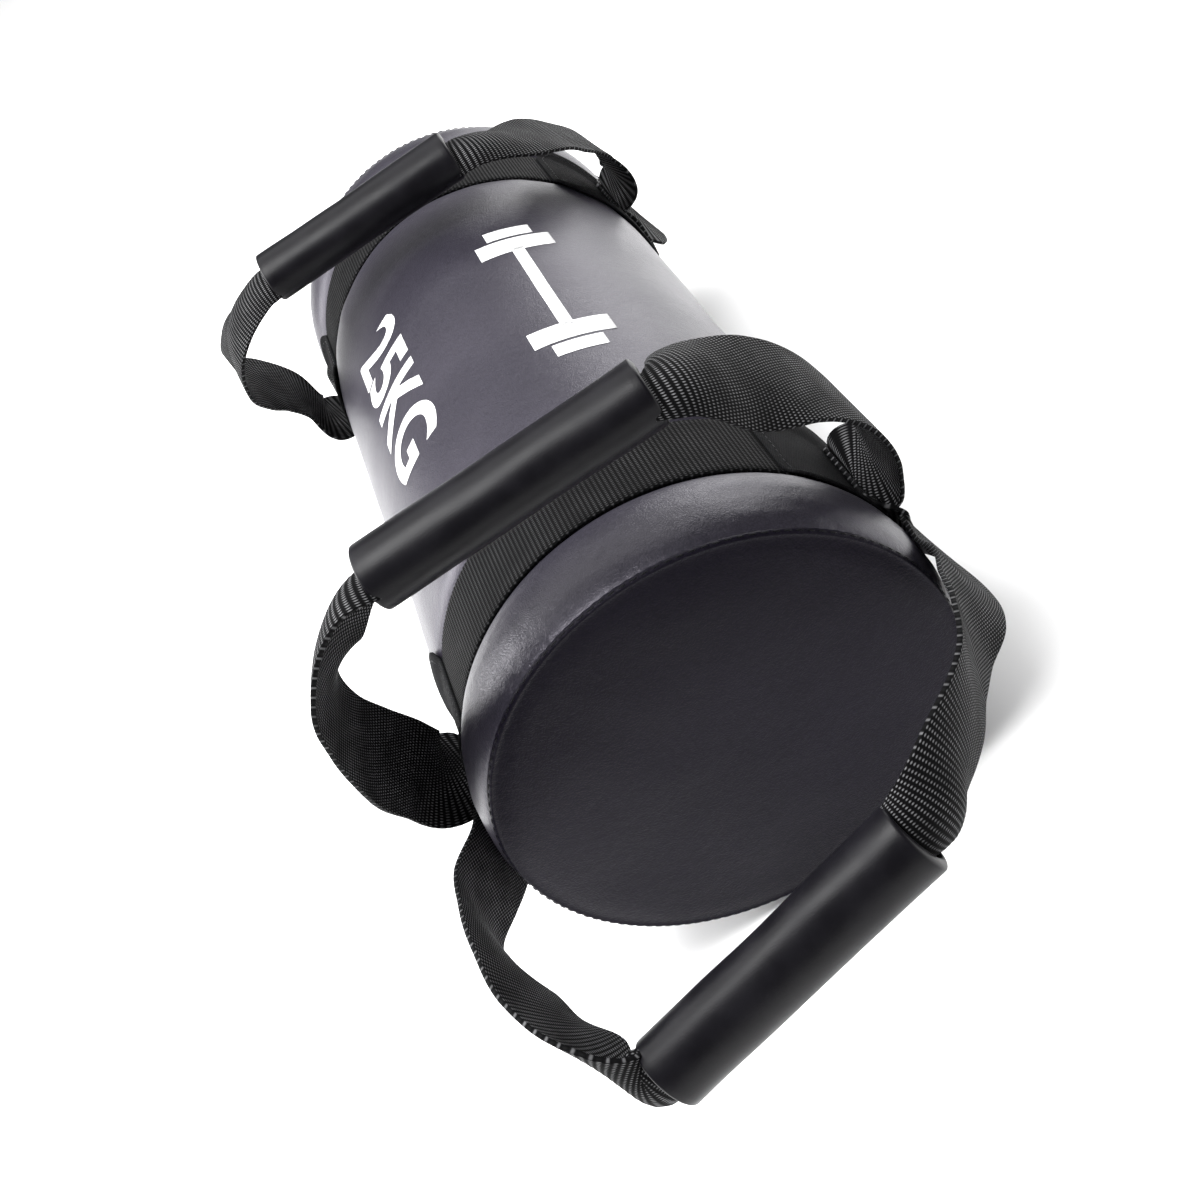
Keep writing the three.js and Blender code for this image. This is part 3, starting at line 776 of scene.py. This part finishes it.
# %% From stations to control points
GRIP_LENGTH = 125 * MM
MOUTH_RUN = 8 * MM
STRAP_ROOT_X = 117.4 * MM
TOP_TAB_RADIUS = 113.6 * MM
END_TAB_RADIUS = 111.1 * MM
SEWN_LENGTH = 46 * MM
FLAT = {"curl": 0.0, "wide": 1.0, "deep": 1.0}
ROLLED = {"curl": math.radians(230), "wide": 1.12, "deep": 0.58}  # inside a grip
SPREADING = {"curl": math.radians(130), "wide": 0.98, "deep": 0.75}  # at its mouth
CUPPED = math.radians(50)  # the curl that is left at the station next to the mouth
ALONG_THE_BAG = 45  # handles that lean more than this have their sewn ends along the bag


def grip_frame(handle):
    """The grip's middle, its length direction and the direction across it, in the handle's frame."""
    turn, tip = math.radians(handle["turn"]), math.radians(handle["tip"])
    direction = Vector((1, math.tan(turn), math.tan(tip))).normalized()
    centre = Vector((handle["shift"] * MM, 0, handle["reach"] * MM))
    across = Vector((0, 1, 0)) - direction * direction.y
    across = Matrix.Rotation(math.radians(handle["roll"]), 3, direction) @ across.normalized()
    return centre, direction, across


def handle_matrix(handle):
    """From the handle's frame to the bag's: the plane turns about the line across the band."""
    y = ENDS[handle["end"]] * BAND_Y
    lean = Matrix.Rotation(math.radians(handle["lean"]), 4, "X")
    return Matrix.Translation((0, y, AXIS_HEIGHT)) @ lean


def sewn_points(handle, side):
    """Control points of a sewn end, from its far edge to where the strap leaves."""
    y = ENDS[handle["end"]] * BAND_Y
    half = SEWN_LENGTH / 2
    points = []
    normal = handle_matrix(handle).to_3x3() @ Vector((0, 1, 0))
    leaves_along = abs(handle["lean"]) > ALONG_THE_BAG
    for distance in (-half, -half / 3, half / 3, half * 0.85):
        if leaves_along:
            place = Vector((side * END_TAB_RADIUS, y + ENDS[handle["end"]] * distance, AXIS_HEIGHT))
            across = Vector((0, 0, math.copysign(1, normal.z)))
            curl = WEBBING_WIDTH / END_TAB_RADIUS
        else:
            angle = distance / TOP_TAB_RADIUS
            up = TOP_TAB_RADIUS * math.sin(angle)
            place = Vector((side * TOP_TAB_RADIUS * math.cos(angle), y, AXIS_HEIGHT + up))
            across = Vector((0, 1, 0))
            curl = 0.0
        points.append({**FLAT, "place": place, "across": across, "curl": curl})
    return points


def control_points(handle):
    """The whole webbing, from the left sewn end through the grip to the right one."""
    to_bag = handle_matrix(handle)
    centre, direction, _ = grip_frame(handle)
    mouth = GRIP_LENGTH / 2 + MOUTH_RUN
    inside = GRIP_LENGTH / 2 - MOUTH_RUN
    sides = {}
    for name, sign in SIDES.items():
        mouth_x = centre.x + sign * mouth * direction.x
        found = []
        for out, along, off, twist in handle[name]:
            x = mouth_x + (sign * STRAP_ROOT_X - mouth_x) * out
            place = to_bag @ Vector((x, off * MM, along * handle["reach"] * MM))
            found.append({**FLAT, "place": place, "twist": twist})
        found[-1].update(curl=CUPPED)
        sides[name] = found
    mouth_twists = handle.get("mouth_twists", (handle["roll"], handle["roll"]))
    rolled = []
    for distance in (-mouth, -inside, 0, inside, mouth):
        place = to_bag @ (centre + direction * distance)
        twist, shape = handle["roll"], ROLLED
        if abs(distance) == mouth:
            shape = SPREADING
            twist = mouth_twists[0 if distance < 0 else 1]
        rolled.append({"place": place, "twist": twist, **shape})
    right = list(reversed(sides["right"]))
    points = sewn_points(handle, -1) + sides["left"] + rolled + right
    return points + list(reversed(sewn_points(handle, 1)))


# %% [markdown]
# A Catmull-Rom curve passes through its control points, and the centripetal kind makes no loops
# where they are unevenly spaced. The across direction, the curl and the widths ride along with
# it, and each across is squared up against the run.

# %% Helper: a smooth route through control points
def catmull(p0, p1, p2, p3, k0, k1, k2, k3, k):
    """One span of a centripetal Catmull-Rom curve at parameter k between k1 and k2."""
    a1 = p0 * ((k1 - k) / (k1 - k0)) + p1 * ((k - k0) / (k1 - k0))
    a2 = p1 * ((k2 - k) / (k2 - k1)) + p2 * ((k - k1) / (k2 - k1))
    a3 = p2 * ((k3 - k) / (k3 - k2)) + p3 * ((k - k2) / (k3 - k2))
    b1 = a1 * ((k2 - k) / (k2 - k0)) + a2 * ((k - k0) / (k2 - k0))
    b2 = a2 * ((k3 - k) / (k3 - k1)) + a3 * ((k - k1) / (k3 - k1))
    return b1 * ((k2 - k) / (k2 - k1)) + b2 * ((k - k1) / (k2 - k1))


def smooth_line(values, knots, per_span):
    """Points of the curve through values, per_span to each span."""
    ends = [values[0] * 2 - values[1], *values, values[-1] * 2 - values[-2]]
    marks = [2 * knots[0] - knots[1], *knots, 2 * knots[-1] - knots[-2]]
    line = []
    for i in range(len(values) - 1):
        for n in range(per_span):
            k = marks[i + 1] + (marks[i + 2] - marks[i + 1]) * n / per_span
            line.append(catmull(*ends[i:i + 4], *marks[i:i + 4], k))
    return line + [values[-1].copy()]


def route_stations(handle, pitch, per_span=24):
    """Even stations along the webbing: place, run, across, face, curl, wide, deep, length."""
    points = control_points(handle)
    places = [p["place"] for p in points]
    knots = [0.0]
    for a, b in zip(places, places[1:]):
        knots.append(knots[-1] + math.sqrt((b - a).length))
    normal = handle_matrix(handle).to_3x3() @ Vector((0, 1, 0))
    for i, point in enumerate(points):
        if "across" in point:
            continue
        run = (places[i + 1] - places[i - 1]).normalized()
        across = (normal - run * run.dot(normal)).normalized()
        point["across"] = Matrix.Rotation(math.radians(point["twist"]), 3, run) @ across
    line = smooth_line(places, knots, per_span)
    across = smooth_line([p["across"] for p in points], knots, per_span)
    shape = smooth_line([Vector((p["curl"], p["wide"], p["deep"])) for p in points], knots, per_span)
    lengths = [0.0]
    for a, b in zip(line, line[1:]):
        lengths.append(lengths[-1] + (b - a).length)
    count = round(lengths[-1] / pitch)
    stations, j = [], 0
    for i in range(count + 1):
        length = lengths[-1] * i / count
        while j < len(line) - 2 and lengths[j + 1] < length:
            j += 1
        t = (length - lengths[j]) / (lengths[j + 1] - lengths[j])
        run = (line[j + 1] - line[j]).normalized()
        if 0 < j < len(line) - 2:
            before = (line[j] - line[j - 1]).normalized()
            after = (line[j + 2] - line[j + 1]).normalized()
            run = (before.lerp(run, min(t + 0.5, 1)) if t < 0.5 else run.lerp(after, t - 0.5)).normalized()
        side = across[j].lerp(across[j + 1], t)
        side = (side - run * run.dot(side)).normalized()
        curl, wide, deep = shape[j].lerp(shape[j + 1], t)
        stations.append({
            "place": line[j].lerp(line[j + 1], t), "across": side, "face": run.cross(side),
            "curl": curl, "wide": wide, "deep": deep, "length": length,
        })
    return stations


# %% [markdown]
# The strip is a grid whose rows are moved to the stations and bent to the section there: flat,
# cupped round the bag, or curled into a C. Every fourth row stands up as a rib. The webbing is
# split in the middle of its grip, out of sight, into two halves.

# %% Handle webbing
STRIP_EDGES = (-0.5, -0.488, -0.455, -0.40, -0.32, -0.24, -0.16, -0.08, 0.0)
STRIP_COLUMNS = STRIP_EDGES + tuple(-edge for edge in reversed(STRIP_EDGES[:-1]))
STRAP_PITCH = RIB_PITCH / RIB_SAMPLES
STRAP_RIB = 0.07 * MM


def section_point(station, share):
    """A point of the webbing's section; share runs from -0.5 to 0.5 across it."""
    v = share * WEBBING_WIDTH
    curl = station["curl"]
    if abs(curl) < 0.001:
        return station["place"] + station["across"] * v * station["wide"]
    radius = WEBBING_WIDTH / curl
    sideways = radius * math.sin(v / radius)
    middle = radius * (math.sin(curl / 2) / (curl / 2) - 1)
    inward = radius * (math.cos(v / radius) - 1) - middle * ease(abs(curl), 0.5, 1.5)
    offset = station["across"] * sideways * station["wide"] + station["face"] * inward * station["deep"]
    return station["place"] + offset


def strip_mesh(stations, first_row):
    """A bmesh strip along the stations, with its ribs and its UV map."""
    rows, columns = len(stations), len(STRIP_COLUMNS)
    bm = bmesh.new()
    bmesh.ops.create_grid(bm, x_segments=columns - 1, y_segments=rows - 1, size=0.5)
    bm.verts.ensure_lookup_table()
    layer = bm.loops.layers.uv.new("strip")
    for vert in bm.verts:
        row = round((vert.co.y + 0.5) * (rows - 1))
        column = round((vert.co.x + 0.5) * (columns - 1))
        for loop in vert.link_loops:
            loop[layer].uv = (stations[row]["length"], STRIP_COLUMNS[column] * WEBBING_WIDTH)
        station = stations[row]
        share = STRIP_COLUMNS[column]
        rib = STRAP_RIB * math.cos(2 * math.pi * (row + first_row) / RIB_SAMPLES)
        inset = 1 if abs(share) < 0.47 else 0.2
        vert.co = section_point(station, share) + station["face"] * rib * inset
    return bm


strap_stations = {}
for name, handle in HANDLES.items():
    stations = route_stations(handle, STRAP_PITCH)
    middle = len(stations) // 2
    strap_stations[name] = stations
    halves = {"left": (stations[:middle + 1], 0), "right": (stations[middle:], middle)}
    for side, (half, first_row) in halves.items():
        bm = strip_mesh(half, first_row)
        if bm.faces[:][0].normal.dot(half[0]["face"]) < 0:
            bmesh.ops.reverse_faces(bm, faces=bm.faces)
        replaced = [f"{name}_webbing", f"{name}_{side}_sewn_end"]
        strap = finish_piece(
            f"{name}_{side}_strap", bm, strap_webbing, None, replaced, (WEBBING_THICKNESS, 0)
        )
        ordered = half if side == "left" else list(reversed(half))
        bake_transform(strap)

# %% [markdown]
# The sewn ends are held by a box of stitches with a cross in it. The stitches follow the strap's
# own section there, so they lie on it exactly.

# %% Box stitching on the sewn ends
BOX_MARGIN = 4.5 * MM
BOX_PITCH = 4.0 * MM
BOX_STITCH = 3.1 * MM
BOX_END = SEWN_LENGTH * 0.88
THREAD_LIFT = 0.1 * MM
BOX_AHEAD = 1.2 * MM  # a longer step, for where the short one gives no direction
TOO_SHORT = 0.1 * MM  # a step shorter than this gives no direction


def strap_spot(ordered, along, across):
    """The outer face of a strap at a distance from its cut edge."""
    station = ordered[round(along / STRAP_PITCH)]
    lift = WEBBING_THICKNESS / 2 + THREAD_LIFT
    return section_point(station, across / WEBBING_WIDTH) + station["face"] * lift


for name, stations in strap_stations.items():
    for side in SIDES:
        ordered = stations if side == "left" else list(reversed(stations))
        low, high = BOX_MARGIN, BOX_END
        reach = WEBBING_WIDTH / 2 - BOX_MARGIN
        corners = [Vector(c) for c in ((low, -reach), (high, -reach), (high, reach), (low, reach))]
        lines = [corners + corners[:1], [corners[0], corners[2]], [corners[1], corners[3]]]
        places = []
        for line in lines:
            for point, run in spaced(line, BOX_PITCH):
                step = point + run.normalized() * LOOK_AHEAD
                here = strap_spot(ordered, point.x, point.y)
                there = strap_spot(ordered, max(step.x, 0), step.y)
                ahead = strap_spot(ordered, point.x + BOX_AHEAD, point.y)
                moved = (there - here).length > TOO_SHORT
                direction = there - here if moved else ahead - here
                places.append((here, direction, ordered[0]["face"]))
        bm = bmesh.new()
        stitch_row(bm, places, BOX_STITCH, FINE_THREAD)
        finish_piece(f"{name}_{side}_box_thread", bm, thread, "bag")

# %% [markdown]
# Each grip is a thick rubber sleeve, oval in section. A round sleeve is spun first, with its
# rounded lips and bore in one closed profile, and then pressed into an oval whose bore is
# flatter than its outside.

# %% Grips
GRIP_OUTER = Vector((16, 14)) * MM
GRIP_BORE = Vector((13.25, 6)) * MM
LIP = 1.6 * MM
GRIP_STEPS = 72
GRIP_WAIST = 0.025  # share of its size that a grip narrows by in the middle
GRIP_DENT = 0.35 * MM


def grip_profile():
    """(wall share, distance from the middle): up the inside, round a lip, down the outside."""
    half = GRIP_LENGTH / 2
    points = [(0.0, -half + LIP + (2 * half - 2 * LIP) * i / 24) for i in range(25)]
    lip = [math.pi - math.pi * i / 10 for i in range(1, 10)]
    points += [(0.5 + 0.5 * math.cos(a), half - LIP + LIP * math.sin(a)) for a in lip]
    points += [(1.0, half - LIP - (2 * half - 2 * LIP) * i / 40) for i in range(41)]
    points += [(0.5 + 0.5 * math.cos(math.pi - a), -half + LIP - LIP * math.sin(a)) for a in lip]
    return points + points[:1]


for number, (name, handle) in enumerate(HANDLES.items()):
    sleeve = [(1 + wall, 0, along) for wall, along in grip_profile()]
    bm = spin_line(sleeve, (0, 0, 0), (0, 0, 1), GRIP_STEPS)
    for vert in bm.verts:
        angle = math.atan2(vert.co.y, vert.co.x)
        wall = vert.co.to_2d().length - 1
        half_width, half_depth = GRIP_BORE.lerp(GRIP_OUTER, wall)
        along = vert.co.z
        waist = 1 - GRIP_WAIST * wall * math.cos(math.pi * along / GRIP_LENGTH)
        skin_place = Vector((math.cos(angle), math.sin(angle), along / (30 * MM) + 9 * number))
        dent = GRIP_DENT * wall * noise.noise(skin_place)
        vert.co.x = (half_depth * waist + dent) * math.cos(angle)
        vert.co.y = (half_width * waist + dent) * math.sin(angle)
    centre, direction, across = grip_frame(handle)
    basis = Matrix((across.cross(direction), across, direction)).transposed().to_4x4()
    place = handle_matrix(handle) @ Matrix.Translation(centre) @ basis
    bmesh.ops.transform(bm, matrix=place, verts=bm.verts)
    bmesh.ops.recalc_face_normals(bm, faces=bm.faces)
    finish_piece(
        f"{name}_grip_sleeve", bm, grip_rubber, f"{name}_sleeve", [f"{name}_grip"]
    )

# %% [markdown]
# Two prints lie on the panel: the weight, and a plain pictogram of a dumb-bell. Each is drawn flat,
# cut into small squares and wrapped on the panel's own surface, a hair above it.

# %% Prints
PRINT_LIFT = 0.12 * MM
PRINT_THICKNESS = 0.12 * MM
PRINT_CUT = 3.0 * MM
LETTER_WEIGHT = 0.022


def flat_text(words, height, spread):
    """The words as a flat bmesh in XY, centred, that tall and that long."""
    data = bpy.data.curves.new("words", "FONT")
    data.body = words
    data.offset = LETTER_WEIGHT
    data.align_x = "CENTER"
    data.align_y = "CENTER"
    made = bpy.data.objects.new("words", data)
    scene.collection.objects.link(made)
    bpy.context.view_layer.update()
    mesh = bpy.data.meshes.new_from_object(made.evaluated_get(bpy.context.evaluated_depsgraph_get()))
    bpy.data.objects.remove(made)
    bm = bmesh.new()
    bm.from_mesh(mesh)
    bmesh.ops.remove_doubles(bm, verts=bm.verts, dist=0.0001)
    low = Vector([min(v.co[i] for v in bm.verts) for i in range(3)])
    high = Vector([max(v.co[i] for v in bm.verts) for i in range(3)])
    bmesh.ops.translate(bm, vec=-(low + high) / 2, verts=bm.verts)
    size = high - low
    bmesh.ops.scale(bm, vec=(spread / size.x, height / size.y, 1), verts=bm.verts)
    return bm


def flat_dumbbell(length, height):
    """A plain pictogram: a bar with two plates at each end."""
    bm = bmesh.new()
    plates = ((0.0, 0.62, 0.16), (0.33, 0.10, 1.0), (0.43, 0.07, 0.62))  # place, width, height
    for place, wide, tall in plates:
        for sign in (1, -1) if place else (1,):
            made = bmesh.ops.create_grid(bm, x_segments=1, y_segments=1, size=0.5)["verts"]
            bmesh.ops.scale(bm, vec=(wide * length, tall * height, 1), verts=made)
            bmesh.ops.translate(bm, vec=(sign * place * length, 0, 0), verts=made)
    return bm


def wrap_print(name, bm, length, height, angle, y):
    """Wraps a flat print: its x runs along the bag to the front, its y round towards the top."""
    cut_up(bm, (1, 0, 0), length, PRINT_CUT)
    cut_up(bm, (0, 1, 0), height, PRINT_CUT)
    toward_top = -1 if angle > 0 else 1
    for vert in bm.verts:
        turned = angle + toward_top * vert.co.y / BAG_RADIUS
        vert.co = on_panel(y - vert.co.x, turned, PRINT_LIFT)
    for face in bm.faces:
        centre = face.calc_center_median()
        face.normal_update()
        if face.normal.dot(Vector((centre.x, 0, centre.z - AXIS_HEIGHT))) < 0:
            face.normal_flip()
    finish_piece(name, bm, ink, "bag", (), (PRINT_THICKNESS, 1))


WEIGHT_ANGLE, MARK_ANGLE = math.radians(-25), math.radians(27)
PRINT_HEIGHT = 42 * MM
WEIGHT_LENGTH, MARK_LENGTH = 134 * MM, 165 * MM
weight_y = -HALF_LENGTH + 2.318 * BAG_RADIUS
mark_y = -HALF_LENGTH + 2.25 * BAG_RADIUS
weight = flat_text("25KG", PRINT_HEIGHT, WEIGHT_LENGTH)
wrap_print("weight_print", weight, WEIGHT_LENGTH, PRINT_HEIGHT, WEIGHT_ANGLE, weight_y)
mark = flat_dumbbell(MARK_LENGTH, PRINT_HEIGHT)
wrap_print("mark_print", mark, MARK_LENGTH, PRINT_HEIGHT, MARK_ANGLE, mark_y)

# %% [markdown]
# A pale floor and soft, large lights stand in for a product studio. Large lights make the long,
# soft highlights that show satin cloth and rubber for what they are.

# %% Floor and lights
FLOOR_SPAN = 6.0
WORLD_GLOW = 0.15  # low, so that the lights alone shape the highlights

floor_mesh = bpy.data.meshes.new("floor")
bm = bmesh.new()
bmesh.ops.create_grid(bm, x_segments=1, y_segments=1, size=FLOOR_SPAN)
bm.to_mesh(floor_mesh)
bm.free()
floor = bpy.data.objects.new("floor", floor_mesh)
scene.collection.objects.link(floor)
floor_material, _, _ = new_material("floor_paint", (0.93, 0.93, 0.93), 0.8)
floor_mesh.materials.append(floor_material)


def soft_light(name, place, target, size, watts):
    """A square area light that faces target."""
    data = bpy.data.lights.new(name, "AREA")
    data.size = size
    data.energy = watts
    light = bpy.data.objects.new(name, data)
    light.location = place
    light.rotation_euler = (Vector(target) - Vector(place)).to_track_quat("-Z", "Y").to_euler()
    scene.collection.objects.link(light)


middle_of_bag = (0, 0, AXIS_HEIGHT)
soft_light("ceiling", (-0.3, 1.3, 3.0), (-0.3, 1.3, 0), 5.0, 185)
soft_light("overhead", (-0.35, -0.25, 1.7), middle_of_bag, 0.9, 44)
soft_light("right_back", (1.2, 1.6, 0.7), middle_of_bag, 1.1, 20)
soft_light("left_back", (-1.7, 0.7, 0.9), middle_of_bag, 1.2, 48)

world = scene.world or bpy.data.worlds.new("world")
scene.world = world
world.use_nodes = True
background = world.node_tree.nodes["Background"]
background.inputs["Color"].default_value = (1, 1, 1, 1)
background.inputs["Strength"].default_value = WORLD_GLOW
scene.view_settings.view_transform = "Standard"  # plain contrast, so that black stays black
